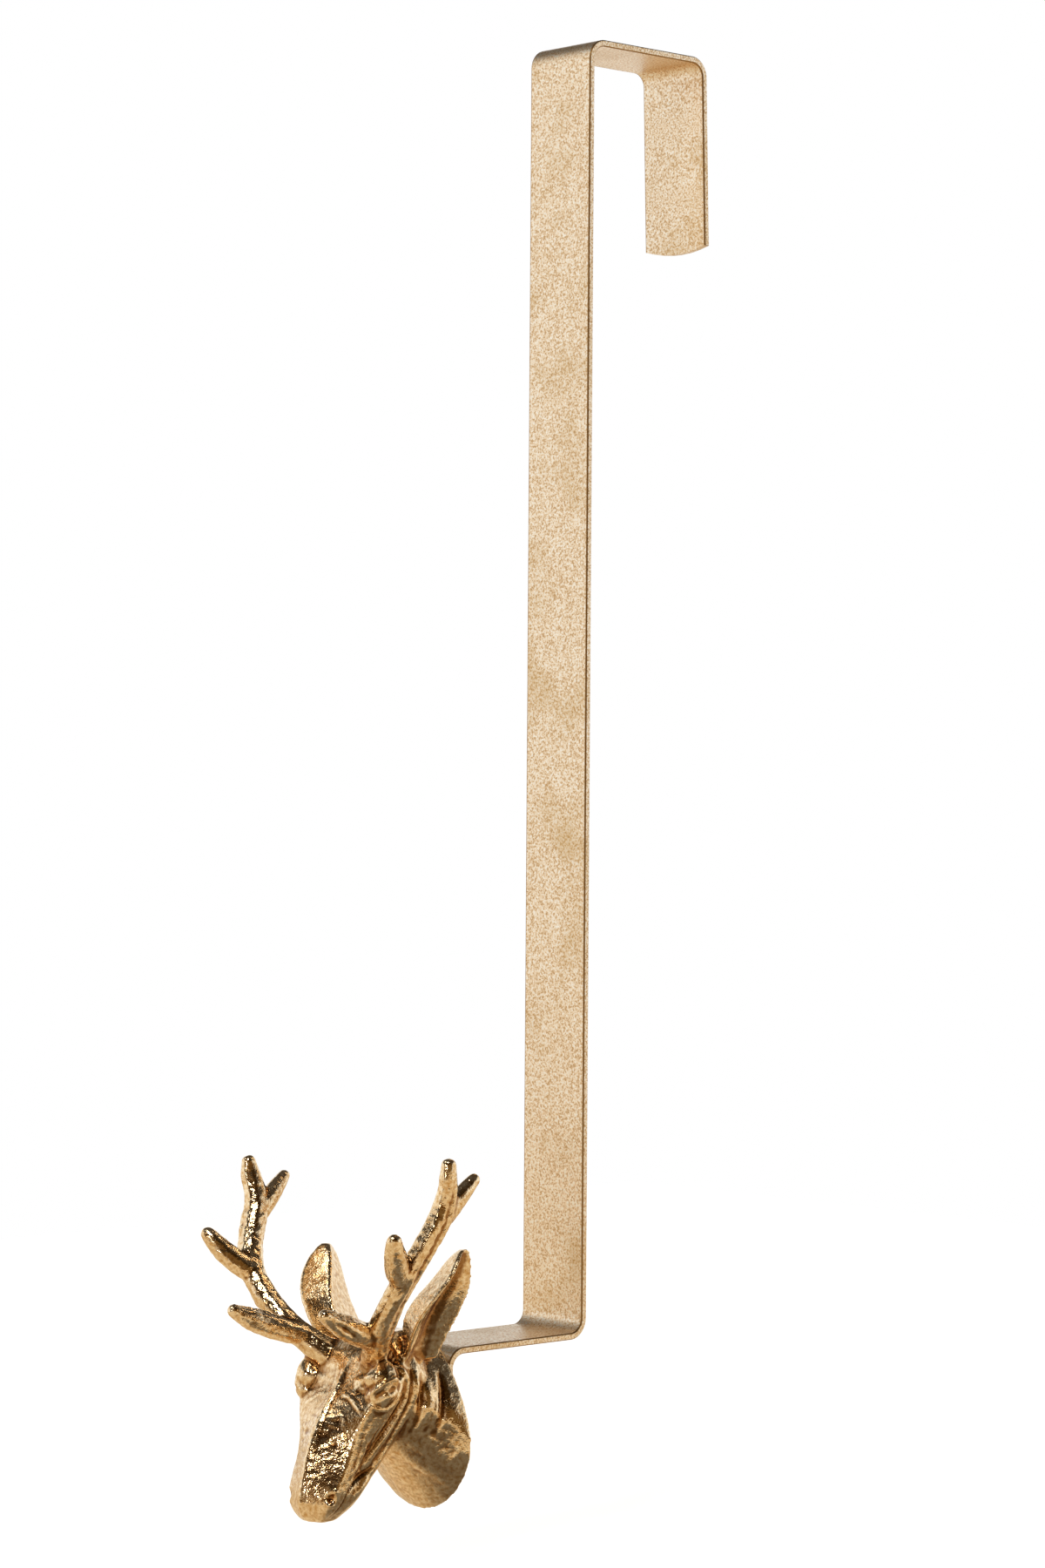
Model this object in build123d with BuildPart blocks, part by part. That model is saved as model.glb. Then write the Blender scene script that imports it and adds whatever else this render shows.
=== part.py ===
from build123d import *
from math import cos, radians, sin
import os

# Wreath hanger that hooks over the top of a door: a bent steel strap whose foot carries a cast stag's head.
# Millimetres. X runs across the door, Y into the room behind it, Z up.
# The origin is the middle of the bridge's underside, which rests on the door's top edge.

# Strap
strap_width = 25.4
strap_thickness = 1.9
door_thickness = 44.45
door_clearance = 0.15
strap_height = 378.4
back_leg_length = 55.6
back_leg_splay = 1.6
back_leg_crown = 2.0
bend_inner_radius = 4.1
wreath_depth = 50.1
tab_length = 17.0
tab_corner_radius = 3.0
edge_break = 0.3

# Screw that holds the casting to the strap's tab
screw_diameter = 4.0
screw_reach = 8.0
screw_drop = 10.5
screw_hole_clearance = 0.25
thread_clearance = 0.05
tapping_spare = 1.5
screw_head_diameter = 8.0
screw_head_height = 2.6
screw_head_bevel = 1.1
drive_recess_length = 4.4
drive_recess_width = 1.1
drive_recess_depth = 1.4

# Stag's head, as cast. The places of its forms are counted in steps of the pattern's drawing grid.
grid_step = 1.0
head_turn = 3.7
antler_depth_ratio = 1.15
ear_cup_depth = 0.7
ear_rim_thickness = 1.3
bar_sides = 8
neck_sides = 26
nostril_radius = 1.1
mouth_groove_radius = 0.6

# Places that follow from the sizes above
door_gap = door_thickness + door_clearance
front_face_y = -door_gap / 2 - strap_thickness
foot_bottom_z = strap_thickness - strap_height
tab_front_y = front_face_y - wreath_depth - strap_thickness
screw_z = foot_bottom_z - screw_drop
half_thickness = strap_thickness / 2
bend_radius = bend_inner_radius + half_thickness

# The casting's own frame: x to the stag's left, y up, z forward from the flat back of the neck.
# The head is screwed on a little turned about its screw.
forward_axis = Axis((0, 0, 0), (0, -1, 0))
head = Plane(
    origin=(0, tab_front_y, screw_z),
    x_dir=Vector(1, 0, 0).rotate(forward_axis, head_turn),
    z_dir=forward_axis.direction,
)
head_middle = Plane(origin=head.origin, x_dir=head.z_dir, z_dir=head.x_dir)


def cast(side, forward, height):
    """Place in the head's frame. Heights on the pattern's drawing start at the foot's underside."""
    return (side * grid_step, height * grid_step + screw_drop, forward * grid_step)


def level(height):
    """Plane across the head at one height, with x to the stag's left and y backwards."""
    return Plane(origin=head.from_local_coords(cast(0, 0, height)), x_dir=head.x_dir, z_dir=head.y_dir)


def across(side, forward):
    """Place on a level plane."""
    return Vector(side, -forward) * grid_step


# Strap: one strip with four bends, from the leg behind the door to the tab behind the head
with BuildPart() as hanger_strap:
    bridge_y = door_gap / 2 + half_thickness
    leg_run = Vector(0, -back_leg_length - strap_thickness).rotate(Axis.Z, back_leg_splay)
    with BuildLine(Plane.YZ) as bends:
        FilletPolyline(
            (bridge_y + leg_run.X, half_thickness + leg_run.Y),
            (bridge_y, half_thickness),
            (-bridge_y, half_thickness),
            (-bridge_y, foot_bottom_z + half_thickness),
            (tab_front_y + half_thickness, foot_bottom_z + half_thickness),
            (tab_front_y + half_thickness, foot_bottom_z - tab_length),
            radius=bend_radius,
        )
    strip_start = Plane(origin=bends.line @ 0, x_dir=(1, 0, 0), z_dir=bends.line % 0)
    with BuildSketch(strip_start):
        Rectangle(strap_width, strap_thickness)
    sweep(path=bends.line)

    # The tab's two free corners are rounded
    tab_corners = hanger_strap.edges().filter_by(Axis.Y).group_by(Axis.Z)[0]
    fillet(tab_corners, radius=tab_corner_radius)

    # The strip's long edges are broken
    side_edges = hanger_strap.faces().filter_by(Axis.X).edges()
    long_edges = side_edges.filter_by(lambda edge: edge.length > 1.5 * strap_thickness)
    chamfer(long_edges, length=edge_break)

    # The leg's end is cut to a shallow crown, which runs out past both edges
    crown_rise = 4 * back_leg_crown
    with BuildSketch(Plane.XZ.offset(-door_gap)):
        with BuildLine():
            ThreePointArc(
                (-strap_width, crown_rise - back_leg_length),
                (0, -back_leg_length),
                (strap_width, crown_rise - back_leg_length),
            )
            Polyline(
                (strap_width, crown_rise - back_leg_length),
                (strap_width, -back_leg_length - strap_width),
                (-strap_width, -back_leg_length - strap_width),
                (-strap_width, crown_rise - back_leg_length),
            )
        make_face()
    extrude(amount=door_gap, mode=Mode.SUBTRACT)

    # Clearance hole for the screw through the tab
    with BuildSketch(head):
        Circle(screw_diameter / 2 + screw_hole_clearance)
    extrude(amount=-2 * strap_thickness, mode=Mode.SUBTRACT)


def ring(depth, width):
    """Outline of a bar's section: a regular polygon, stretched to a depth and a width."""
    turns = [360 * (side + 0.5) / bar_sides for side in range(bar_sides)]
    return [(depth * cos(radians(turn)), width * sin(radians(turn))) for turn in turns]


def tapered_bar(points, radii, depth_ratio=1.0):
    """Bar along a smooth line through its points, with a blunt tip. It may be deeper than it is wide."""
    with BuildLine(head) as route:
        Spline([cast(*point) for point in points])
    line = route.line
    with BuildPart() as bar:
        for index, radius in enumerate(radii):
            share = index / (len(radii) - 1)
            width = radius * grid_step
            depth = width * (depth_ratio + (1 - depth_ratio) * share)
            station = Plane(origin=line @ share, x_dir=head.z_dir, z_dir=line % share)
            with BuildSketch(station):
                Polygon(*ring(depth, width), align=None)
        loft()
        for rise, share in ((0, 1), (0.45, 0.85), (0.75, 0.45)):
            with BuildSketch(station.offset(rise * width)):
                Polygon(*ring(share * width, share * width), align=None)
        loft(ruled=True)
    return bar.part


# One antler: a beam with a tall end, and three more tines. Places are (side, forward, height).
beam = tapered_bar(
    [(7, 18.5, -3), (17, 29, 6.8), (25, 32, 14.6), (34.3, 31.5, 26), (39.3, 26, 38), (43.4, 24.2, 54.6)],
    [5, 4.2, 3.6, 3.6, 3.5, 3.5, 3.3, 2.4],
    antler_depth_ratio,
)
brow_tine = tapered_bar(
    [(13.6, 24.4, 4.4), (17.4, 36, 8.6), (19.2, 45, 12), (19.8, 50.4, 15)],
    [2.4, 3.4, 3.2, 2.1],
    antler_depth_ratio,
)
middle_tine = tapered_bar(
    [(31, 30.5, 22), (36, 37.8, 28.4), (40.6, 42.3, 35.3)],
    [2.2, 3.4, 3.2, 2.2],
    antler_depth_ratio,
)
back_tine = tapered_bar(
    [(39.4, 26.5, 38), (40.3, 19, 44.5), (41.1, 12.9, 50)],
    [2.2, 2.9, 2.6, 1.9],
    antler_depth_ratio,
)

# One ear: a leaf with a three-cornered section, blunt rims and a scooped outer side.
# Each section is given by its front rim, its back rim and its inner ridge, as (side, forward).
with BuildPart() as ear:
    for height, front, back, inner in [
        (-1, (16, 19), (15.5, 6), (8, 13)),
        (4, (20, 19.4), (18, 4.8), (11, 14)),
        (9.5, (24, 19.9), (21.5, 3.8), (14.6, 16.5)),
        (15, (28.2, 19), (25.2, 3.4), (18, 16.4)),
        (21.5, (32.3, 15.5), (28, 3.3), (22.4, 12.8)),
        (27, (32.6, 11.6), (29.4, 4.3), (26, 9.6)),
        (30.2, (31.6, 8.4), (30.6, 6.2), (29.2, 7.6)),
    ]:
        front, back, inner = across(*front), across(*back), across(*inner)
        middle = (front + back) * 0.5
        rim = (inner - middle).normalized() * ear_rim_thickness * grid_step
        scoop = middle + (inner - middle) * ear_cup_depth
        cup = [back * (1 - t) ** 2 + scoop * 2 * t * (1 - t) + front * t**2 for t in (0.3, 0.7)]
        with BuildSketch(level(height)):
            Polygon(front, front + rim, inner + rim, back + rim, back, *cup, align=None)
    loft()

# Neck: one outline, which shrinks towards its crest as it runs forward from the flat seat.
# Its right half is given as (side, height) from crest to chest.
neck_half = [(0, 4.5), (8, 3), (15.5, -6), (20.6, -17), (21.8, -26), (17.5, -36), (9, -42.8), (0, -45)]
neck_loop = neck_half + [(-side, height) for side, height in neck_half[-2:0:-1]]
with BuildLine() as neck_line:
    Spline(neck_loop, periodic=True)
neck_outline = [neck_line.line @ (corner / neck_sides) for corner in range(neck_sides)]
crest = neck_half[0][1]
with BuildPart() as neck:
    for forward, share, rise in [(0, 1, 0), (3, 0.96, 1), (8, 0.85, 2.6), (14, 0.73, 4), (20, 0.63, 4.5)]:
        section = [
            cast(share * corner.X, 0, crest + share * (corner.Y - crest) + rise)[:2]
            for corner in neck_outline
        ]
        with BuildSketch(head.offset(forward * grid_step)):
            Polygon(*section, align=None)
    loft(ruled=True)

# Skull and muzzle: a keel runs down the face. On each side follow the flank's edge, the cheek's ridge,
# a hollow, a second ridge and the jaw. Sections give the keel's place forward, the rest as (side, forward).
with BuildPart() as skull:
    for height, keel, *corners in [
        (7.5, 21, (6, 20.6), (10.4, 17), (10, 15), (9.8, 12.6), (8.4, 9)),
        (3, 25.6, (10, 25), (14.5, 19.6), (13.6, 16.5), (14, 13.5), (12, 9)),
        (-3, 28.6, (15.2, 27.2), (17.4, 20.4), (16, 17.6), (16.6, 14.6), (14.4, 10)),
        (-8, 31.6, (16.6, 28.8), (18.4, 22.6), (16.2, 19), (17.4, 15.6), (14.8, 11)),
        (-13, 35.6, (15.2, 31.6), (17.2, 25), (14.8, 21.4), (16, 17), (13.4, 13)),
        (-20, 40.2, (12.3, 34.2), (13.8, 29.2), (12, 25.4), (13.4, 20.4), (10.6, 15.6)),
        (-28, 43.3, (11.2, 37), (11, 33.4), (9.6, 30.4), (11, 25), (8, 21)),
        (-35, 45.2, (10, 40.6), (10.6, 36.6), (9.4, 34), (9.4, 29.6), (6.8, 26.6)),
        (-40, 45.1, (7.8, 41.8), (8.4, 39), (7.6, 37), (7.4, 34), (5.4, 30.8)),
        (-43.4, 41.8, (4, 41), (4.6, 39.4), (4.6, 38), (4.2, 36.6), (3, 34.8)),
    ]:
        right = [across(*corner) for corner in corners]
        left = [across(-side, forward) for side, forward in reversed(corners)]
        with BuildSketch(level(height)):
            Polygon(across(0, keel), *right, *left, align=None)
    loft()

# Small forms of the face, each on one side of it
socket_run = [(13.4, 24, 2), (14.8, 25.8, -1.4), (15.2, 26.6, -6), (14.8, 27, -10.4), (13, 27.2, -14.6)]
orbit = tapered_bar(socket_run, [1.4, 3.6, 4.9, 3.8, 1.5])
eye = tapered_bar([(15, 30.2, -10.2), (17.6, 28.6, -9), (18, 24.4, -8)], [1.1, 2, 1.2])
nostril = tapered_bar([(11, 43.6, -37), (9.6, 42.6, -36.6), (8.4, 41.6, -36.2)], [nostril_radius] * 3)
mouth_groove = tapered_bar(
    [(10.4, 33, -33), (10, 37, -37.4), (7, 42, -41.6)],
    [mouth_groove_radius] * 4,
)

with BuildPart() as stag_head:
    add([neck.part, skull.part, ear.part, beam, brow_tine, middle_tine, back_tine, orbit, eye])
    add([nostril, mouth_groove], mode=Mode.SUBTRACT)
    split(bisect_by=head_middle, keep=Keep.TOP)
    mirror(about=head_middle)

    # Blind tapped hole for the screw
    with BuildSketch(head):
        Circle(screw_diameter / 2 + thread_clearance)
    extrude(amount=screw_reach + tapping_spare, mode=Mode.SUBTRACT)

# Pan-head screw with a cross recess, seated on the back of the tab
tab_back = head.offset(-strap_thickness)
with BuildPart() as head_screw:
    with BuildSketch(tab_back):
        Circle(screw_head_diameter / 2)
    extrude(amount=-screw_head_height)
    chamfer(head_screw.edges().sort_by(Axis.Y)[-1], length=screw_head_bevel)
    with BuildSketch(tab_back):
        Circle(screw_diameter / 2)
    extrude(amount=strap_thickness + screw_reach)
    chamfer(head_screw.edges().sort_by(Axis.Y)[0], length=screw_diameter / 8)
    with BuildSketch(tab_back.offset(-screw_head_height)):
        Rectangle(drive_recess_length, drive_recess_width)
        Rectangle(drive_recess_width, drive_recess_length)
    extrude(amount=drive_recess_depth, mode=Mode.SUBTRACT)

hanger_strap.part.label = "hanger_strap"
stag_head.part.label = "stag_head"
head_screw.part.label = "head_screw"

os.makedirs("parts", exist_ok=True)
export_step(hanger_strap.part, "parts/hanger_strap.step")
export_step(stag_head.part, "parts/stag_head.step")
export_step(head_screw.part, "parts/head_screw.step")
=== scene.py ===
# %% [markdown]
# # A wreath hanger with a cast stag's head
#
# The real object is a bent steel strap that hooks over a door, with a cast stag's head on its foot.
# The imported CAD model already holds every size, so this scene only dresses it: it keeps the strap and
# the screw as they are, gives the head the worked surface of a real casting, and lights it like the
# photograph. Everything is in metres and in the CAD model's own frame.

import math

import bmesh
import bpy
import numpy as np
from mathutils import Matrix, Vector, noise


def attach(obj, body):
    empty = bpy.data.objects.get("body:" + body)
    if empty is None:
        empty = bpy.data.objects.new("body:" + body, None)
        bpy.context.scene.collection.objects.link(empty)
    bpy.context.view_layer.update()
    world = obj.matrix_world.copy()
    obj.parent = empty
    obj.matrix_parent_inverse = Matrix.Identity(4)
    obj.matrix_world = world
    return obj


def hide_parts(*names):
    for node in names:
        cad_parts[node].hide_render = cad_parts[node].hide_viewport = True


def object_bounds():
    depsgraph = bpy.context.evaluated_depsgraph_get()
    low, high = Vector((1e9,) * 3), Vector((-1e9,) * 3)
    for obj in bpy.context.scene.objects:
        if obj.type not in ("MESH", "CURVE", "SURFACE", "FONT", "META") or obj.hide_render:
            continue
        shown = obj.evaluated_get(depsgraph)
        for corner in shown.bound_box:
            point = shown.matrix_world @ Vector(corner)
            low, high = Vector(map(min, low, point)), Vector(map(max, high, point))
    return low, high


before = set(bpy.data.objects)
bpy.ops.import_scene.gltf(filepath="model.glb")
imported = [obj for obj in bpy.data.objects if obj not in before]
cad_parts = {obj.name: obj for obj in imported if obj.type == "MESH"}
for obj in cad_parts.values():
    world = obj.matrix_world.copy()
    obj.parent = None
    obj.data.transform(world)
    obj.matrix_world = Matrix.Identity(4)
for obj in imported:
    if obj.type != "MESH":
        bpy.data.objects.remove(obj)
cad_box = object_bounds()
MM = 0.001
print("nodes:", sorted(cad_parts))

# %% [markdown]
# ## The camera
#
# The photograph was taken from the head's front left with a long lens, a little over a metre away.
# A camera could be placed by eye, but the strap's straight edges fix it exactly, so its place, its two
# angles and its focal length were solved from them once and are written here.
# A small roll is part of the photograph too.

# %% Camera directions
CAMERA_PLACE_MM = (837.11, -815.80, -212.82)
CAMERA_AZIMUTH = 0.8217478
CAMERA_PITCH = 0.0021650
CAMERA_ROLL = -0.0067440

forward = Vector(
    (
        -math.sin(CAMERA_AZIMUTH) * math.cos(CAMERA_PITCH),
        math.cos(CAMERA_AZIMUTH) * math.cos(CAMERA_PITCH),
        -math.sin(CAMERA_PITCH),
    )
)
upward = Vector((0, 0, 1))
level_right = forward.cross(upward).normalized()
level_down = forward.cross(level_right)
camera_right = math.cos(CAMERA_ROLL) * level_right + math.sin(CAMERA_ROLL) * level_down
camera_down = math.cos(CAMERA_ROLL) * level_down - math.sin(CAMERA_ROLL) * level_right
print("camera looks along", [round(value, 3) for value in forward])

# %% Camera
CAMERA_LENS_MM = 90.218
CAMERA_SENSOR_MM = 36.0

camera_data = bpy.data.cameras.new("camera")
camera_data.sensor_width = CAMERA_SENSOR_MM
camera_data.lens = CAMERA_LENS_MM
camera = bpy.data.objects.new("camera", camera_data)
turn = Matrix((camera_right, -camera_down, -forward)).transposed().to_4x4()
camera.matrix_world = Matrix.Translation(Vector(CAMERA_PLACE_MM) * MM) @ turn
bpy.context.scene.collection.objects.link(camera)
bpy.context.scene.camera = camera
print("camera at", [round(value, 3) for value in camera.matrix_world.translation])

# %% [markdown]
# ## Colours and nodes
#
# Colours are easiest to pick as the hex values that a screen shows, but shaders work in linear light.
# One function turns the first into the second.
# Shader trees get long when each node takes three lines, so one more function adds a node with its
# settings and its links in one go. A Mix node has a set of sockets for each kind of value, and those for
# colours are found by number, so the numbers get names.

# %% Helpers for materials
MIX_FIRST, MIX_SECOND = 6, 7
MIX_RESULT = 2


def linear(hex_colour):
    """A screen colour such as '#C8A064' as linear red, green, blue and alpha."""
    channels = [int(hex_colour[i : i + 2], 16) / 255 for i in (1, 3, 5)]
    return [c / 12.92 if c <= 0.04045 else ((c + 0.055) / 1.055) ** 2.4 for c in channels] + [1.0]


def add_node(tree, kind, inputs=(), **settings):
    """Adds one node. Each input is a value, or another node's output to link."""
    node = tree.nodes.new(kind)
    for name, value in settings.items():
        setattr(node, name, value)
    for socket, value in dict(inputs).items():
        if isinstance(value, bpy.types.NodeSocket):
            tree.links.new(value, node.inputs[socket])
        else:
            node.inputs[socket].default_value = value
    return node


def new_material(name):
    """An empty material: its nodes are added by the cell that makes it."""
    material = bpy.data.materials.new(name)
    material.use_nodes = True
    material.node_tree.nodes.clear()
    return material


def coat_with(piece, material):
    """Gives the piece this material and no other."""
    piece.data.materials.clear()
    piece.data.materials.append(material)


print("gold #D2A363 in linear light:", [round(value, 3) for value in linear("#D2A363")])

# %% [markdown]
# ## The studio
#
# Polished metal shows what stands around it, tinted by its own colour.
# In the photograph the gold is pale where it mirrors the white paper behind it, white where it mirrors a
# softbox, and brown where it mirrors the dim room behind the camera.
# A picture of a studio could be mirrored, but a few soft fields of colour can be read and changed.
# So the world is white behind the object and warm and dim in front of it.

# %% World: paper behind, room in front
PAPER_WHITE = linear("#FFFFFF")
ROOM_DIM = linear("#745A36")
# The paper starts 115 degrees away from straight ahead and is full at 97: these are the cosines.
PAPER_STARTS, PAPER_FULL = -0.42, -0.12

world = bpy.data.worlds.new("studio")
world.use_nodes = True
bpy.context.scene.world = world
tree = world.node_tree
tree.nodes.clear()

direction = add_node(tree, "ShaderNodeTexCoord")
towards_paper = add_node(
    tree,
    "ShaderNodeVectorMath",
    {0: direction.outputs["Generated"], 1: forward},
    operation="DOT_PRODUCT",
)
paper_share = add_node(
    tree,
    "ShaderNodeMapRange",
    {"Value": towards_paper.outputs["Value"], "From Min": PAPER_STARTS, "From Max": PAPER_FULL},
    interpolation_type="SMOOTHSTEP",
)
surroundings = add_node(
    tree,
    "ShaderNodeMix",
    {"Factor": paper_share.outputs["Result"], MIX_FIRST: ROOM_DIM, MIX_SECOND: PAPER_WHITE},
    data_type="RGBA",
)
print("world: paper and room")

# %% [markdown]
# ## The ceiling, and what the camera sees
#
# Surfaces that face up are dark in the photograph, as they are below a dim ceiling.
# The camera itself sees white all round, as the photograph has it. What the metal mirrors is the room.

# %% World: ceiling and camera
CEILING_DIM = linear("#2A1E0E")
CEILING_SHARE = 0.94
# The ceiling starts 20 degrees up and is full at 33: these are the sines.
CEILING_STARTS, CEILING_FULL = 0.34, 0.54

height = add_node(tree, "ShaderNodeSeparateXYZ", {0: direction.outputs["Generated"]})
shade_share = add_node(
    tree,
    "ShaderNodeMapRange",
    {
        "Value": height.outputs["Z"],
        "From Min": CEILING_STARTS,
        "From Max": CEILING_FULL,
        "To Max": CEILING_SHARE,
    },
    interpolation_type="SMOOTHSTEP",
)
under_ceiling = add_node(
    tree,
    "ShaderNodeMix",
    {
        "Factor": shade_share.outputs["Result"],
        MIX_FIRST: surroundings.outputs[MIX_RESULT],
        MIX_SECOND: CEILING_DIM,
    },
    data_type="RGBA",
)
ray = add_node(tree, "ShaderNodeLightPath")
seen = add_node(
    tree,
    "ShaderNodeMix",
    {
        "Factor": ray.outputs["Is Camera Ray"],
        MIX_FIRST: under_ceiling.outputs[MIX_RESULT],
        MIX_SECOND: PAPER_WHITE,
    },
    data_type="RGBA",
)
background = add_node(tree, "ShaderNodeBackground", {"Color": seen.outputs[MIX_RESULT], "Strength": 1.0})
add_node(tree, "ShaderNodeOutputWorld", {"Surface": background.outputs["Background"]})
print("world:", len(tree.nodes), "nodes")

# %% [markdown]
# ## The floor
#
# The photograph shows white paper all round the hanger, with a faint shadow on it, so a sheet lies just
# under the head. A thin box would do as well, but one flat face is enough for paper.
# It is staging and not a part of the hanger.

# %% Floor
FLOOR_HALF_SIZE = 0.7
FLOOR_BELOW_MM = 14

floor_height = cad_box[0][2] - FLOOR_BELOW_MM * MM
floor_mesh = bmesh.new()
bmesh.ops.create_grid(floor_mesh, x_segments=1, y_segments=1, size=FLOOR_HALF_SIZE)
bmesh.ops.translate(floor_mesh, verts=floor_mesh.verts, vec=(0, 0, floor_height))
floor = bpy.data.objects.new("floor", bpy.data.meshes.new("floor"))
floor_mesh.to_mesh(floor.data)
floor_mesh.free()
bpy.context.scene.collection.objects.link(floor)
print("floor at", round(floor_height, 4))

# %% [markdown]
# ## The floor's paper
#
# White paper would do, but polished gold mirrors it, and in the photograph the underside of the head
# mirrors something warmer and dimmer than the paper, with a dark patch below its cheek.
# So a painted reflection lies on the sheet: it glows white for the camera, warm and less for the metal,
# and not at all in the patch.
# Both glows are added to plain matt paper, which takes the hanger's faint shadow.

# %% What the metal sees of the floor
# Painted reflection: the sheet glows only for the metal's mirror, and not in this patch.
DIM_PATCH_PLACE = (0.06, -0.09, floor_height)
PATCH_ENDS, GLOW_STARTS = 0.045, 0.075
MIRRORED_GLOW = 0.6
CAMERA_GLOW = 0.94

floor_paper = new_material("matt white paper")
tree = floor_paper.node_tree
ray = add_node(tree, "ShaderNodeLightPath")
place = add_node(tree, "ShaderNodeTexCoord")
from_patch = add_node(
    tree,
    "ShaderNodeVectorMath",
    {0: place.outputs["Object"], 1: DIM_PATCH_PLACE},
    operation="DISTANCE",
)
reflection_glow = add_node(
    tree,
    "ShaderNodeMapRange",
    {
        "Value": from_patch.outputs["Value"],
        "From Min": PATCH_ENDS,
        "From Max": GLOW_STARTS,
        "To Min": 0.0,
        "To Max": MIRRORED_GLOW,
    },
    interpolation_type="SMOOTHSTEP",
)
glossy_glow = add_node(
    tree,
    "ShaderNodeMath",
    {0: ray.outputs["Is Glossy Ray"], 1: reflection_glow.outputs["Result"]},
    operation="MULTIPLY",
)
print("dim patch at", [round(value, 3) for value in DIM_PATCH_PLACE])

# %% Matt white paper and its painted glow
# Paper: matt and rough, a little grey in itself.
PAPER_MATT = linear("#B9B0A0")
# Warm colour of the painted reflection that the metal sees on the sheet.
REFLECTION_WARM = linear("#F6E1BE")

seen_glow = add_node(
    tree,
    "ShaderNodeMath",
    {0: ray.outputs["Is Camera Ray"], 1: CAMERA_GLOW, 2: glossy_glow.outputs["Value"]},
    operation="MULTIPLY_ADD",
)
glow_colour = add_node(
    tree,
    "ShaderNodeMix",
    {"Factor": ray.outputs["Is Camera Ray"], MIX_FIRST: REFLECTION_WARM, MIX_SECOND: PAPER_WHITE},
    data_type="RGBA",
)
glow = add_node(
    tree,
    "ShaderNodeEmission",
    {"Color": glow_colour.outputs[MIX_RESULT], "Strength": seen_glow.outputs["Value"]},
)
paper = add_node(tree, "ShaderNodeBsdfDiffuse", {"Color": PAPER_MATT, "Roughness": 1.0})
both = add_node(tree, "ShaderNodeAddShader", {0: paper.outputs[0], 1: glow.outputs[0]})
add_node(tree, "ShaderNodeOutputMaterial", {"Surface": both.outputs[0]})
coat_with(floor, floor_paper)
print("floor paper:", len(tree.nodes), "nodes")

# %% [markdown]
# ## The lamps
#
# Each bright spot on a mirror shows where a lamp stands. The spots on the antlers, the nose and the far
# ear were followed back from the surface's direction there, which gave the places of the softboxes.
# Lamps could be moved about until the picture matches, but this way each one has a reason.
# A fourth one is wide and weak. It stands to the left of the camera and lifts the tones between the spots.

# %% Lamps
HEAD_PLACE = Vector((0.0, -0.1, -0.38))
LAMP_DISTANCE = 1.4
# name, degrees turned from straight away behind the head, degrees raised, side in metres, brightness
SOFTBOXES = (
    ("softbox_wide", -150, -4, 1.0, 0.35),
    ("softbox_high", -157, 54, 0.34, 13.0),
    ("softbox_side", -93, 52, 0.32, 3.4),
    ("softbox_low", -144, 15, 0.13, 28.0),
)


def from_head(turn_degrees, rise_degrees):
    """A place at lamp distance from the head: turned from straight away behind it, and raised."""
    turn_angle, rise_angle = math.radians(turn_degrees), math.radians(rise_degrees)
    level_way = math.cos(turn_angle) * forward + math.sin(turn_angle) * level_right
    way = math.cos(rise_angle) * level_way + math.sin(rise_angle) * upward
    return HEAD_PLACE + LAMP_DISTANCE * way


for name, turn_degrees, rise_degrees, side, brightness in SOFTBOXES:
    softbox = bpy.data.lights.new(name, "AREA")
    softbox.shape = "SQUARE"
    softbox.size = side
    # At this power a mirror shows the lamp at the brightness in the table, where 1 is white.
    softbox.energy = brightness * math.pi * side * side
    lamp = bpy.data.objects.new(name, softbox)
    lamp.location = from_head(turn_degrees, rise_degrees)
    lamp.rotation_euler = (HEAD_PLACE - lamp.location).to_track_quat("-Z", "Y").to_euler()
    bpy.context.scene.collection.objects.link(lamp)
    print(name, "at", [round(value, 2) for value in lamp.location])

# %% [markdown]
# ## The strap's coat
#
# The strap is steel strip, sprayed with a champagne-gold metallic lacquer. Its flakes lie at all angles,
# so the coat glitters in short squiggles about a millimetre long, and it has stains of a deeper gold.
# A picture of paint could be wrapped on it, but noise on object coordinates keeps its real size all
# round the bends, so the coat is drawn with noise at millimetre scale.

# %% Flakes and stains
# A real flake is about a tenth of a millimetre wide, too fine to show. The noise is drawn as coarse as it
# needs to show.
FLAKE_MM = 0.6
FLAKE_STOPS = ((0.36, "#D6B080"), (0.5, "#FCE3BF"), (0.66, "#FFF7E6"))
STAIN_MM = 22
STAIN_GOLD = linear("#CDA35A")
STAIN_STARTS, STAIN_FULL, STAIN_SHARE = 0.5, 0.72, 0.45


def per_metre(size_mm):
    """Noise scale that gives features of this size on object coordinates in metres."""
    return 1000 / size_mm


strap_coat = new_material("champagne metallic coat")
tree = strap_coat.node_tree
place = add_node(tree, "ShaderNodeTexCoord")
flakes = add_node(
    tree,
    "ShaderNodeTexNoise",
    {"Vector": place.outputs["Object"], "Scale": per_metre(FLAKE_MM), "Detail": 2.0, "Roughness": 0.6},
)
stains = add_node(
    tree,
    "ShaderNodeTexNoise",
    {"Vector": place.outputs["Object"], "Scale": per_metre(STAIN_MM), "Detail": 3.0, "Roughness": 0.55},
)
flake_colour = add_node(tree, "ShaderNodeValToRGB", {"Fac": flakes.outputs["Fac"]})
ramp = flake_colour.color_ramp
ramp.elements.new(FLAKE_STOPS[1][0])
for stop, (spot, colour) in zip(ramp.elements, FLAKE_STOPS):
    stop.position = spot
    stop.color = linear(colour)
stain_share = add_node(
    tree,
    "ShaderNodeMapRange",
    {
        "Value": stains.outputs["Fac"],
        "From Min": STAIN_STARTS,
        "From Max": STAIN_FULL,
        "To Max": STAIN_SHARE,
    },
)
coat_colour = add_node(
    tree,
    "ShaderNodeMix",
    {
        "Factor": stain_share.outputs["Result"],
        MIX_FIRST: flake_colour.outputs["Color"],
        MIX_SECOND: STAIN_GOLD,
    },
    data_type="RGBA",
)
print("flake stops:", [round(stop.position, 2) for stop in ramp.elements])
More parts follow.
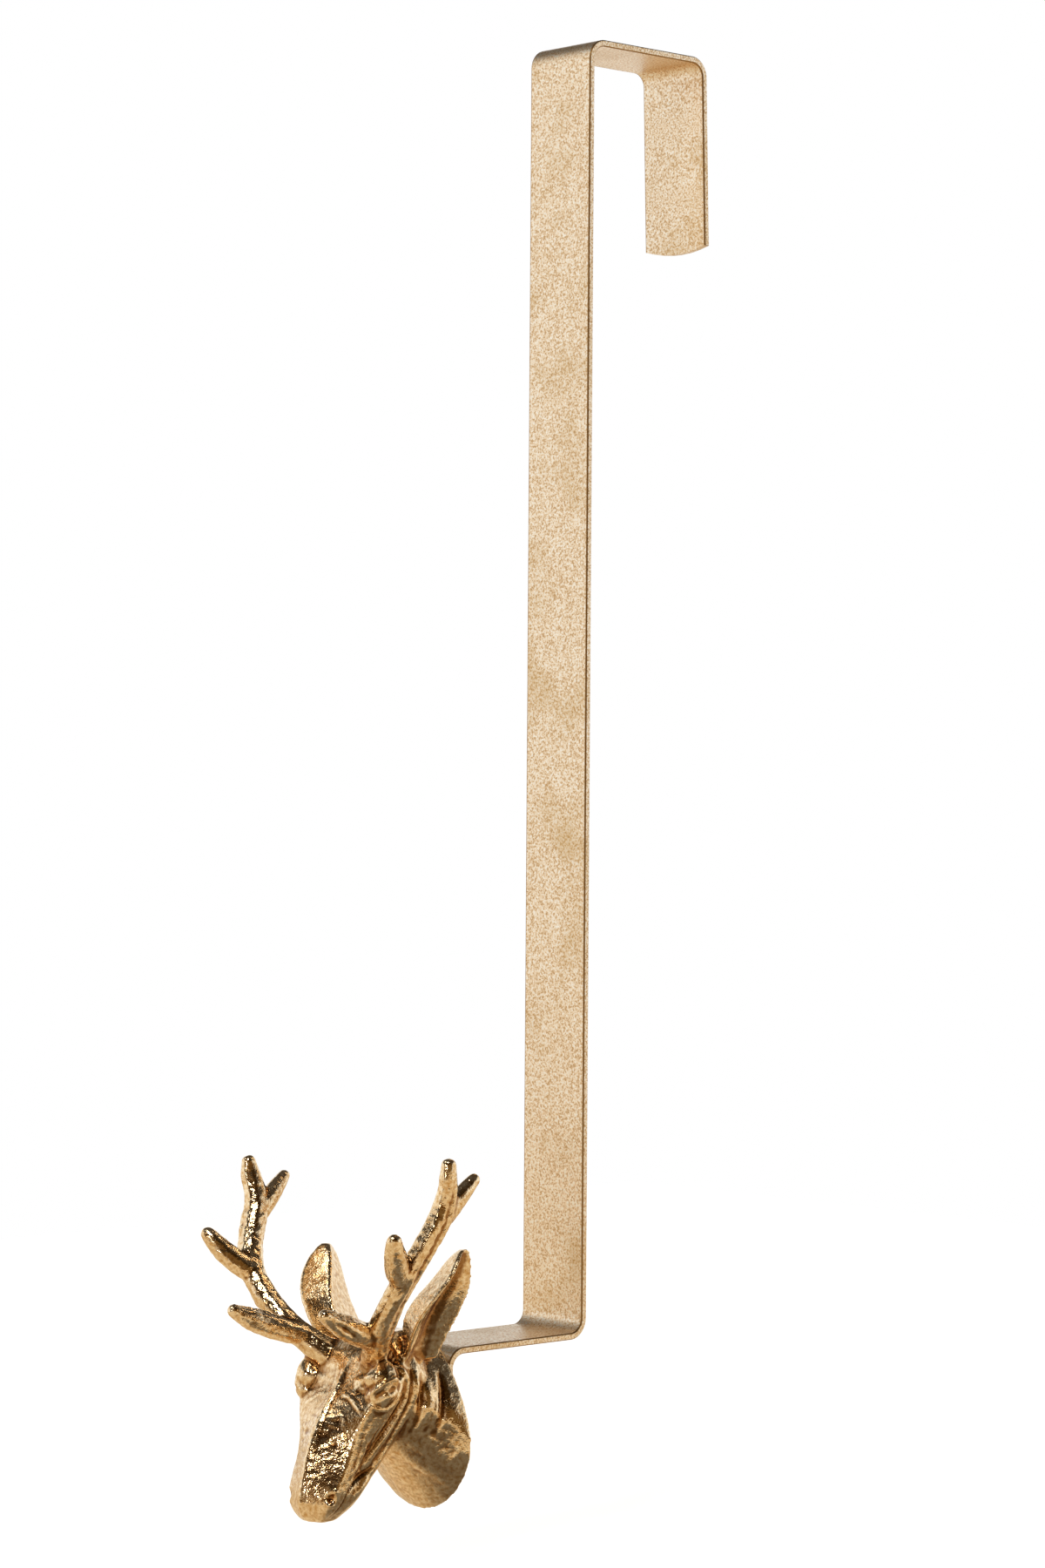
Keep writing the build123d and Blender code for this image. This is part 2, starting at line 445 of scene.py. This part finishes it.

# %% [markdown]
# ## The line along the strap's edge
#
# In the photograph a thin brown line runs down the strap's near edge, where the front turns into the side.
# It could be a groove in the mesh, but it is only colour here: the distance from the strap's middle gives
# it, at any height and round every bend. The far edge gets it too, and hardly shows it from the camera.

# %% Edge line
EDGE_LINE_MM = 0.27
EDGE_LINE_HALF_MM = 0.24
EDGE_BROWN = linear("#A98250")

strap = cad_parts["hanger_strap"]
half_width = max(vertex.co.x for vertex in strap.data.vertices)
across = add_node(tree, "ShaderNodeSeparateXYZ", {0: place.outputs["Object"]})
from_middle = add_node(tree, "ShaderNodeMath", {0: across.outputs["X"]}, operation="ABSOLUTE")
edge_share = add_node(
    tree,
    "ShaderNodeMath",
    {
        0: from_middle.outputs["Value"],
        1: half_width - EDGE_LINE_MM * MM,
        2: EDGE_LINE_HALF_MM * MM,
    },
    operation="COMPARE",
)
# A thin brown line painted along both edges, on the rounding between the front and the sides.
edge_line_colour = add_node(
    tree,
    "ShaderNodeMix",
    {
        "Factor": edge_share.outputs["Value"],
        MIX_FIRST: coat_colour.outputs[MIX_RESULT],
        MIX_SECOND: EDGE_BROWN,
    },
    data_type="RGBA",
)
print("strap's half width:", round(half_width / MM, 2), "mm")

# %% [markdown]
# ## The coat's shine
#
# Metallic lacquer shines softly, with a roughness between 0.3 and 0.5. A flake that lies flat is pale and
# smoother, so the same noise drives the colour, the roughness and a bump of a tenth of a millimetre.

# %% Champagne coat
# Metallic lacquer sprayed on steel: many small mirrors, so a soft shine with fine glitter in it.
FLAKE_RISE_MM = 0.12
FLAKE_BUMP = 0.6
DULL_FLAKE, FLAT_FLAKE = 0.35, 0.65
DULL_ROUGHNESS, FLAT_ROUGHNESS = 0.46, 0.34

relief = add_node(
    tree,
    "ShaderNodeBump",
    {"Height": flakes.outputs["Fac"], "Strength": FLAKE_BUMP, "Distance": FLAKE_RISE_MM * MM},
)
shine = add_node(
    tree,
    "ShaderNodeMapRange",
    {
        "Value": flakes.outputs["Fac"],
        "From Min": DULL_FLAKE,
        "From Max": FLAT_FLAKE,
        "To Min": DULL_ROUGHNESS,
        "To Max": FLAT_ROUGHNESS,
    },
)
coat = add_node(
    tree,
    "ShaderNodeBsdfPrincipled",
    {
        "Base Color": edge_line_colour.outputs[MIX_RESULT],
        "Metallic": 1.0,
        "Roughness": shine.outputs["Result"],
        "Normal": relief.outputs["Normal"],
    },
)
add_node(tree, "ShaderNodeOutputMaterial", {"Surface": coat.outputs[0]})
coat_with(strap, strap_coat)
print("strap:", len(strap.data.polygons), "faces")

# %% [markdown]
# ## The stag's head
#
# The head is a casting. A casting has no sharp edges where its forms meet: the metal rounds every root
# and rim, and the mould leaves a fine grainy skin.
# The forms could be joined and rounded one by one, but a voxel remesh of the CAD solid does what the
# mould does to all of them at once. The CAD mesh has doubled points, so a copy of it is merged first.

# %% Merge a copy of the CAD head
MERGE_MM = 0.002

wax = bmesh.new()
wax.from_mesh(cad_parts["stag_head"].data)
print("CAD head:", len(wax.verts), "points,", len(wax.faces), "faces")
bmesh.ops.remove_doubles(wax, verts=wax.verts, dist=MERGE_MM * MM)
print("merged head:", len(wax.verts), "points")
head = bpy.data.objects.new("stag_head_casting", bpy.data.meshes.new("stag_head_casting"))
wax.to_mesh(head.data)
wax.free()
bpy.context.scene.collection.objects.link(head)

# %% Remesh and soften it
# Finer voxels would take the head past 200,000 triangles.
VOXEL_MM = 0.48
SOFTEN_FACTOR = 0.5
SOFTEN_STEPS = 10


def apply_modifiers(piece):
    """Replaces the piece's mesh by the one its modifiers make, and removes them."""
    shown = piece.evaluated_get(bpy.context.evaluated_depsgraph_get())
    finished = bpy.data.meshes.new_from_object(shown)
    piece.modifiers.clear()
    piece.data = finished


remesh = head.modifiers.new("remesh", "REMESH")
remesh.mode = "VOXEL"
remesh.voxel_size = VOXEL_MM * MM
soften = head.modifiers.new("soften", "SMOOTH")
soften.factor = SOFTEN_FACTOR
soften.iterations = SOFTEN_STEPS
apply_modifiers(head)
print("head:", len(head.data.polygons), "faces after the remesh")

# %% [markdown]
# ## Working the wax
#
# Folds, lids, lips and hollows are too fine for the CAD solid. A sculptor would draw each one over the
# surface with a rounded tool, pushing it in or building it up along a line.
# The same is done here: a stroke is a line of points on the surface, with a width and a lift, and every
# point of the mesh near that line moves along its own normal.
# Sculpt mode could do it by hand, but strokes with numbers can be read, moved and repeated.
# The numbers are millimetres on the head's own drawing, which is turned a little against the strap.

# %% The head's own directions
HEAD_ORIGIN_MM = (0.0, -76.2, -387.0)
HEAD_TURN = math.radians(3.7)
DRAWING_RISE_MM = 10.5
SIDE, HEIGHT = 0, 2

head_side = Vector((math.cos(HEAD_TURN), 0, math.sin(HEAD_TURN)))
head_up = Vector((-math.sin(HEAD_TURN), 0, math.cos(HEAD_TURN)))
head_ahead = Vector((0, -1, 0))
head_axes = np.array([head_side, head_ahead, head_up])


def drawn_places(mesh):
    """The mesh's points as side, forward and height on the head's drawing, in millimetres."""
    points = np.empty(len(mesh.vertices) * 3)
    mesh.vertices.foreach_get("co", points)
    places = (points.reshape(-1, 3) / MM - np.array(HEAD_ORIGIN_MM)) @ head_axes.T
    places[:, HEIGHT] -= DRAWING_RISE_MM
    return places


def set_drawn_places(mesh, places):
    """Moves the mesh's points to these places on the head's drawing."""
    lowered = places + np.array([0, 0, DRAWING_RISE_MM])
    points = (lowered @ head_axes + np.array(HEAD_ORIGIN_MM)) * MM
    mesh.vertices.foreach_set("co", points.ravel())
    mesh.update()


def drawn_normals(mesh):
    """The normals of the mesh's points in the head's own directions."""
    normals = np.empty(len(mesh.vertices) * 3)
    mesh.vertices.foreach_get("normal", normals)
    return normals.reshape(-1, 3) @ head_axes.T


places = drawn_places(head.data)
print("head on its drawing: from", places.min(axis=0).round(1), "to", places.max(axis=0).round(1))

# %% [markdown]
# ## The sculptor's tools
#
# A stroke needs a line, a soft profile across it and a fade at its two ends. A dab is a stroke with no
# length. A stroke must not reach through a thin form such as an ear, so each one asks which way the skin
# faces.

# %% Distance from a line
def distance_to_line(places, line):
    """How far each place is from a line through several points, and how far along it."""
    nearest = np.full(len(places), np.inf)
    along = np.zeros(len(places))
    steps = np.linalg.norm(np.diff(line, axis=0), axis=1)
    passed = 0.0
    for start, end, step in zip(line[:-1], line[1:], steps):
        share = np.clip(((places - start) @ (end - start)) / step**2, 0, 1)
        distance = np.linalg.norm(places - start - share[:, None] * (end - start), axis=1)
        closer = distance < nearest
        nearest[closer] = distance[closer]
        along[closer] = (passed + share[closer] * step) / steps.sum()
        passed += step
    return nearest, along


trial_line = np.array([(0, 0, 0), (10, 0, 0)], float)
trial_distance, trial_along = distance_to_line(np.array([(5, 3, 0)], float), trial_line)
print("3 mm beside a line's middle:", trial_distance[0], "mm away,", trial_along[0], "along")

# %% Strokes and dabs
FADE_POWER = 0.7
# Skin that faces up to 24 degrees past sideways still moves a little: this is the sine.
FACING_ALLOWANCE = 0.4


def soft_profile(distance, width):
    """1 on the line, falling smoothly to 0 at this width."""
    return np.clip(1 - (distance / width) ** 2, 0, 1) ** 2


def stroke_lift(places, points, width, lift):
    """How much a stroke lifts each place: most on its line, nothing past its width or its ends."""
    distance, along = distance_to_line(places, np.array(points, float))
    return lift * soft_profile(distance, width) * np.sin(math.pi * along) ** FADE_POWER


def dab_lift(places, point, width, lift):
    """A stroke with no length: a dimple or a bump."""
    distance = np.linalg.norm(places - np.array(point, float), axis=1)
    return lift * soft_profile(distance, width)


def facing(places, normals, points):
    """1 where the skin faces the tool that draws along these points, 0 on a thin form's far side."""
    nearest = [np.linalg.norm(places - np.array(point), axis=1).argmin() for point in points]
    tool_axis = normals[nearest].sum(axis=0)
    tool_axis /= np.linalg.norm(tool_axis)
    return np.clip(normals @ tool_axis + FACING_ALLOWANCE, 0, 1)


print("profile halfway out:", round(float(soft_profile(0.5, 1.0)), 2))

# %% [markdown]
# ## Forehead, brow and eye
#
# The lines of all strokes were traced over the head as it is seen in the photograph.
# Each one is a list of points as side, forward and height, then its width and its lift.
# A crease runs from the antlers down to the nose. A band runs out over the eye, with a hollow above and
# below it, a tear fold winds to the eye's front corner, and the eye has an opening and two lids.

# %% Strokes of the brow and the eye
BROW_AND_EYE = [
    # crease from the antlers to the nose
    ([(2.4, 26.1, 2.1), (0.7, 29.8, -5.3), (0.5, 34.3, -11.6), (0.8, 38.6, -17.9), (0.8, 42, -25)], 1.4, 0.5),
    # brow band, the hollow above it and the one below it
    ([(6.5, 29.4, -6), (10, 28.8, -5), (14, 29.8, -4.2), (18.4, 28.4, -2.6)], 2.0, 1.0),
    ([(9, 28.2, -1.4), (12.4, 28.8, -1.4), (16, 28.6, -0.6)], 2.0, -0.5),
    ([(8, 30.6, -8.2), (12, 30.8, -7.8), (15.6, 31, -6.6), (18.6, 29, -4.6)], 1.6, -0.9),
    # tear fold
    ([(3.6, 31.5, -8.6), (6.5, 31.2, -9.6), (10.1, 31.8, -11.4), (12.9, 32.4, -13.6)], 1.1, 0.6),
    # the eye's opening, upper lid and lower lid
    ([(15.6, 31, -10), (18.2, 29.2, -8.8), (19.2, 26.4, -7.6), (18.6, 23.6, -6.8)], 1.9, -1.0),
    (
        [(14.2, 31.6, -10), (17.2, 31, -7.2), (19, 29, -5.4), (19.4, 25.9, -4.4), (18, 21.6, -6)],
        1.1,
        0.9,
    ),
    (
        [(14.2, 31.6, -11), (16, 29.2, -12.6), (16.8, 26.8, -12.8), (18, 24.4, -10.6), (17.8, 21.6, -7)],
        1.1,
        0.9,
    ),
]
print("brow and eye:", len(BROW_AND_EYE), "strokes")

# %% [markdown]
# ## Cheek and neck
#
# A ring of skin rounds the back of the eye and runs down the cheek to the lip. Softer furrows and folds
# follow it on the side of the neck, which has a flat and, below that, a crease.

# %% Strokes of the cheek and the neck
CHEEK_AND_NECK = [
    # ring, the cheek's ridge and the hollow between them
    (
        [
            *[(14.4, 25, -1), (17.3, 20.6, -2.6), (16.8, 18.8, -6), (15.9, 19.2, -10.4)],
            *[(14.4, 20.9, -15.1), (12.4, 23.8, -20.7), (10.5, 27.6, -25.7), (9.6, 30.4, -29.6)],
        ],
        1.6,
        1.3,
    ),
    (
        [(14.6, 28.6, -14), (12.8, 31, -19), (11.2, 31.4, -24), (10.6, 33.2, -28.5), (10.7, 36.6, -31.4)],
        1.3,
        0.8,
    ),
    ([(18, 22, -7.6), (17.2, 22, -10.6), (16, 24, -14.4), (14, 26.8, -18.6), (11.4, 29.4, -24)], 1.3, -1.0),
    # furrows and folds behind the ring
    (
        [
            *[(16.4, 17.4, -2.6), (16.6, 17, -8.6), (15.8, 17.6, -12.5)],
            *[(14, 19.6, -18.1), (12.1, 22.7, -23.7), (10.4, 27, -28.4)],
        ],
        1.6,
        -0.9,
    ),
    ([(16.9, 15.6, -3.6), (16.6, 15.4, -10.7), (15, 16, -15.4), (12.4, 18.4, -21)], 2.0, 0.6),
    ([(16.6, 13.4, -4), (16.2, 13, -12), (15.1, 13.9, -16.8), (11.8, 15, -22)], 1.8, -0.5),
    ([(15.7, 10.4, -3.4), (16.8, 11, -12.1), (16, 12.4, -17.4), (12, 14, -23)], 2.4, 0.6),
    ([(15.6, 5, -2), (17.6, 6.2, -10), (18.4, 7.8, -16.5), (15.6, 9.6, -23)], 2.0, -1.0),
    # the neck's flat, and the crease below it
    ([(13.4, 14, -18), (17.1, 7.8, -22.5), (18.7, 2.9, -27.5)], 7.0, -1.0),
    ([(4, 14.4, -25.6), (9.4, 9.6, -30.1), (12.8, 5.3, -33.7), (15.8, 0.4, -37.2)], 3.4, 0.5),
]
print("cheek and neck:", len(CHEEK_AND_NECK), "strokes")

# %% [markdown]
# ## Muzzle, antlers and ears
#
# A groove parts the nose from the cheek, the lip has a pad and the nostril a rim. Ridges run along the
# beam and the tines of each antler, with furrows beside them. The cup of each ear is pressed deeper, and
# its front rim is folded.

# %% Strokes of the muzzle, the antlers and the ears
MUZZLE = [
    # groove behind the nose, lip pad, nostril rim
    (
        [
            *[(10.8, 26.4, -28.3), (9.8, 29.7, -30.3), (9.8, 33.3, -32.3)],
            *[(10.2, 36, -35.3), (8.6, 37.3, -39.1), (6, 40, -41.6)],
        ],
        1.1,
        -1.0,
    ),
    ([(9.4, 28, -32), (9, 31, -35), (7.6, 34, -38.4)], 1.8, 0.6),
    (
        [
            *[(7.6, 42.4, -36.4), (8.1, 42.4, -34.6), (9.6, 41.2, -34), (11.1, 39.8, -35.2)],
            *[(11.1, 39.6, -37.4), (9.8, 40.4, -38.7), (8, 41.8, -38.2), (7.4, 42.6, -36.2)],
        ],
        1.0,
        0.8,
    ),
]
ANTLERS = [
    # the beam's ridge and furrow
    ([(20, 31.6, 8), (28, 34.4, 15), (36.6, 33.8, 26), (41.6, 28.4, 38), (45.4, 26, 54)], 1.3, 0.9),
    ([(22, 30, 7), (30.4, 31.6, 14), (38.4, 30.4, 26.6), (43, 25.4, 38.4), (46, 22.6, 52)], 1.8, -0.8),
    # the brow tine's ridge and furrow, and the middle tine's ridge
    ([(16.6, 34, 11), (19.6, 42, 14), (21, 50, 16.4)], 1.2, 0.8),
    ([(18.6, 36, 6.4), (21.4, 44, 10.4), (21.6, 50, 13.4)], 1.6, -0.7),
    ([(37, 38.6, 31), (39, 41, 34), (41.4, 43.6, 36.6)], 1.2, 0.6),
]
EARS = [
    # cup, and the fold of the front rim
    ([(16, 12.4, -2), (20.6, 12, 9), (24.4, 11.4, 15), (28, 9.8, 21.5), (31, 7.6, 29)], 4.4, -1.7),
    ([(17.4, 18.4, 2), (22.6, 17.2, 9.5), (26.6, 15.8, 15), (30.4, 12.8, 21), (31.6, 9.6, 27)], 1.1, 0.7),
]
print("muzzle:", len(MUZZLE), "antlers:", len(ANTLERS), "ears:", len(EARS), "strokes")

# %% [markdown]
# ## Press and raise the wax
#
# Both halves of the head get each stroke, so the far half is folded over the near one to find the
# distances. The far side of the face is hardly seen, and its strokes are lower, up to the antlers' roots.
# Three dabs come last: the eyeball, the nostril and the hollow behind the brow.

# %% Apply the strokes and the dabs
DABS = [
    ((18.5, 28.2, -8.5), 1.5, 0.9),
    ((9.3, 41.2, -36.4), 2.0, -1.0),
    ((16.6, 24.4, 1.4), 2.2, -0.5),
]
FAR_SHARE = 0.35
ANTLER_ROOT_HEIGHT = 3

normals = drawn_normals(head.data)
one_half = places.copy()
one_half[:, SIDE] = np.abs(places[:, SIDE])
half_normals = normals.copy()
half_normals[:, SIDE] *= np.sign(places[:, SIDE])
lift = np.zeros(len(places))
for points, width, rise in BROW_AND_EYE + CHEEK_AND_NECK + MUZZLE + ANTLERS + EARS:
    lift += stroke_lift(one_half, points, width, rise) * facing(one_half, half_normals, points)
for point, width, rise in DABS:
    lift += dab_lift(one_half, point, width, rise)
on_far_side = (places[:, SIDE] < 0) & (places[:, HEIGHT] < ANTLER_ROOT_HEIGHT)
lift *= np.where(on_far_side, FAR_SHARE, 1)
set_drawn_places(head.data, places + normals * lift[:, None])
print("strokes lift the surface by", round(lift.min(), 2), "to", round(lift.max(), 2), "mm")

# %% [markdown]
# ## The casting's skin
#
# A rough mould leaves lumps on the casting, from one millimetre to seven millimetres wide here.
# They show on the outline of the antlers, so they are real geometry and not only a bump in the material.
# Noise of three sizes moves each point along its normal, and it is stretched from side to side, as the
# ripples on the nose are. The antlers and the side of the nose are rough. The rest is smoother, so it
# gets a smaller share.

# %% How rough each place is
ROUGH_LINES = [
    # side of the nose, the beam, the brow tine and the middle tine
    ([(3, 33, -13), (5, 37, -19), (6, 39, -25)], 8.0),
    ([(12, 26, 3), (25, 32, 14.6), (34.3, 31.5, 26), (39.3, 26, 38), (43.4, 24.2, 54.6)], 8.0),
    ([(17.4, 36, 8.6), (19.8, 50.4, 15)], 7.0),
    ([(36, 37.8, 28.4), (40.6, 42.3, 35.3)], 7.0),
]
SMOOTH_SHARE = 0.3

places = drawn_places(head.data)
one_half = places.copy()
one_half[:, SIDE] = np.abs(places[:, SIDE])
roughness_share = np.full(len(places), SMOOTH_SHARE)
for points, width in ROUGH_LINES:
    near_line = stroke_lift(one_half, points, width, 1 - SMOOTH_SHARE)
    roughness_share = np.maximum(roughness_share, SMOOTH_SHARE + near_line)
print("mean share of the lumps:", round(float(roughness_share.mean()), 2))

# %% Lumps
# width and height of the lumps of each size
SKIN_LUMPS_MM = ((7.0, 0.45), (2.0, 0.24), (1.1, 0.16))
LUMP_STRETCH = 2.2

normals = drawn_normals(head.data)
lumps = np.zeros(len(places))
for lump_size, lump_height in SKIN_LUMPS_MM:
    stretched = places / (lump_size * LUMP_STRETCH, lump_size, lump_size)
    lumps += [lump_height * noise.noise(Vector(place)) for place in stretched]
set_drawn_places(head.data, places + normals * (lumps * roughness_share)[:, None])
print("skin lumps from", round(lumps.min(), 2), "to", round(lumps.max(), 2), "mm")

# %% [markdown]
# ## Painted shade in the grooves
#
# In the photograph the grooves are browner than the ridges, where shade falls, so shade is painted into them.
# A shader can find grooves by itself in a render, but not every renderer has that node, so the script
# measures them: it smooths a copy of the surface, and a point that lies below the copy is in a groove.
# The result is kept on the mesh as an attribute, which is a half on a level surface.

# %% Grooves and ridges
BLUR_STEPS = 8
GROOVE_DEPTH_MM = 0.12
LEVEL = 0.5

places = drawn_places(head.data)
normals = drawn_normals(head.data)
edges = np.empty(len(head.data.edges) * 2, int)
head.data.edges.foreach_get("vertices", edges)
edges = edges.reshape(-1, 2)
neighbours = np.bincount(edges.ravel(), minlength=len(places))
blurred = places.copy()
for step in range(BLUR_STEPS):
    total = np.zeros_like(blurred)
    np.add.at(total, edges[:, 0], blurred[edges[:, 1]])
    np.add.at(total, edges[:, 1], blurred[edges[:, 0]])
    blurred = total / neighbours[:, None]
depth = ((blurred - places) * normals).sum(axis=1) / GROOVE_DEPTH_MM
groove = head.data.attributes.new("groove", "FLOAT", "POINT")
groove.data.foreach_set("value", np.clip(depth * 0.5 + LEVEL, 0, 1))
print("grooves on", round(float((depth > 0.5).mean()), 3), "of the surface")

# %% [markdown]
# ## Gold leaf
#
# The casting is covered with imitation gold leaf, a thin brass foil, on rough metal. It mirrors sharply
# but takes on each grain below it, which gives hard sparkles beside dark spots.
# Its two colours are those of pale and of darker brass, and brown shade is painted into the grooves.

# %% Colour of the leaf
# Width of the lumps that the leaf's colour and the coarser bump follow.
SKIN_MM = 1.1
LEAF_STOPS = ((0.28, "#D2A363"), (0.64, "#FFE8C0"))
# Painted shade: white leaves the leaf as it is, and the brown darkens it in the grooves.
GROOVE_SHADE_STOPS = ((0.25, "#FFFFFF"), (LEVEL, "#FBF7F2"), (0.85, "#A98A66"))

leaf = new_material("gold leaf on rough casting")
tree = leaf.node_tree
place = add_node(tree, "ShaderNodeTexCoord")
skin = add_node(
    tree,
    "ShaderNodeTexNoise",
    {"Vector": place.outputs["Object"], "Scale": per_metre(SKIN_MM), "Detail": 2.0, "Roughness": 0.6},
)
leaf_colour = add_node(tree, "ShaderNodeValToRGB", {"Fac": skin.outputs["Fac"]})
groove = add_node(tree, "ShaderNodeAttribute", attribute_name="groove")
groove_shade = add_node(tree, "ShaderNodeValToRGB", {"Fac": groove.outputs["Fac"]})
groove_shade.color_ramp.elements.new(LEVEL)
for colours, stops in ((leaf_colour, LEAF_STOPS), (groove_shade, GROOVE_SHADE_STOPS)):
    for stop, (spot, colour) in zip(colours.color_ramp.elements, stops):
        stop.position = spot
        stop.color = linear(colour)
# The leaf's colour times the painted shade of the grooves.
groove_shaded_leaf = add_node(
    tree,
    "ShaderNodeMix",
    {"Factor": 1.0, MIX_FIRST: leaf_colour.outputs["Color"], MIX_SECOND: groove_shade.outputs["Color"]},
    data_type="RGBA",
    blend_type="MULTIPLY",
)
print("leaf and wear stops:", len(leaf_colour.color_ramp.elements), len(groove_shade.color_ramp.elements))

# %% [markdown]
# ## The leaf's mirror
#
# A low roughness gives the sharp mirror. Two bumps break it up: one of lumps and one of grain. Both are
# too small to show on the outline, so they are only in the material.

# %% Gold leaf on the casting
# Brass foil laid on rough cast metal: a sharp mirror, broken by the casting's grain.
# The real grain is finer than the photograph shows, so it is drawn as coarse as it needs to show.
GRAIN_MM = 0.5
SKIN_RISE_MM, GRAIN_RISE_MM = 0.16, 0.11
LEAF_BUMP = 0.6
LEAF_ROUGHNESS = 0.13

grain = add_node(
    tree,
    "ShaderNodeTexNoise",
    {"Vector": place.outputs["Object"], "Scale": per_metre(GRAIN_MM), "Detail": 1.0},
)
lumpy = add_node(
    tree,
    "ShaderNodeBump",
    {"Height": skin.outputs["Fac"], "Strength": LEAF_BUMP, "Distance": SKIN_RISE_MM * MM},
)
relief = add_node(
    tree,
    "ShaderNodeBump",
    {
        "Height": grain.outputs["Fac"],
        "Strength": LEAF_BUMP,
        "Distance": GRAIN_RISE_MM * MM,
        "Normal": lumpy.outputs["Normal"],
    },
)
gold = add_node(
    tree,
    "ShaderNodeBsdfPrincipled",
    {
        "Base Color": groove_shaded_leaf.outputs[MIX_RESULT],
        "Metallic": 1.0,
        "Roughness": LEAF_ROUGHNESS,
        "Normal": relief.outputs["Normal"],
    },
)
add_node(tree, "ShaderNodeOutputMaterial", {"Surface": gold.outputs[0]})
coat_with(head, leaf)
print("leaf:", len(tree.nodes), "nodes")

# %% [markdown]
# ## The head takes the CAD head's place
#
# The worked head rides on the part's only body and stands in for the CAD head, which is hidden.

# %% Hand the head over
for face in head.data.polygons:
    face.use_smooth = True
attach(head, "root")
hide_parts("stag_head")
print("head:", sum(len(face.vertices) - 2 for face in head.data.polygons), "triangles")

# %% [markdown]
# ## Zinc plate
#
# The screw behind the head is plain hardware. Its CAD mesh is kept, and only its finish is made.

# %% Zinc on the screw
# Zinc plated on steel in a bath: cool grey and a little dull.
ZINC_GREY = linear("#C9C9C4")
ZINC_ROUGHNESS = 0.35

zinc = new_material("zinc plate on steel")
tree = zinc.node_tree
plate = add_node(
    tree,
    "ShaderNodeBsdfPrincipled",
    {"Base Color": ZINC_GREY, "Metallic": 1.0, "Roughness": ZINC_ROUGHNESS},
)
add_node(tree, "ShaderNodeOutputMaterial", {"Surface": plate.outputs[0]})
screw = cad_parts["head_screw"]
coat_with(screw, zinc)
print("screw:", len(screw.data.polygons), "faces")

# %% [markdown]
# ## Finish
#
# The colours are shown as they are written, with the Standard view. The CAD model's box is printed.

# %% Finish
bpy.context.scene.view_settings.view_transform = "Standard"
print("CAD box", [[round(v, 4) for v in c] for c in cad_box])
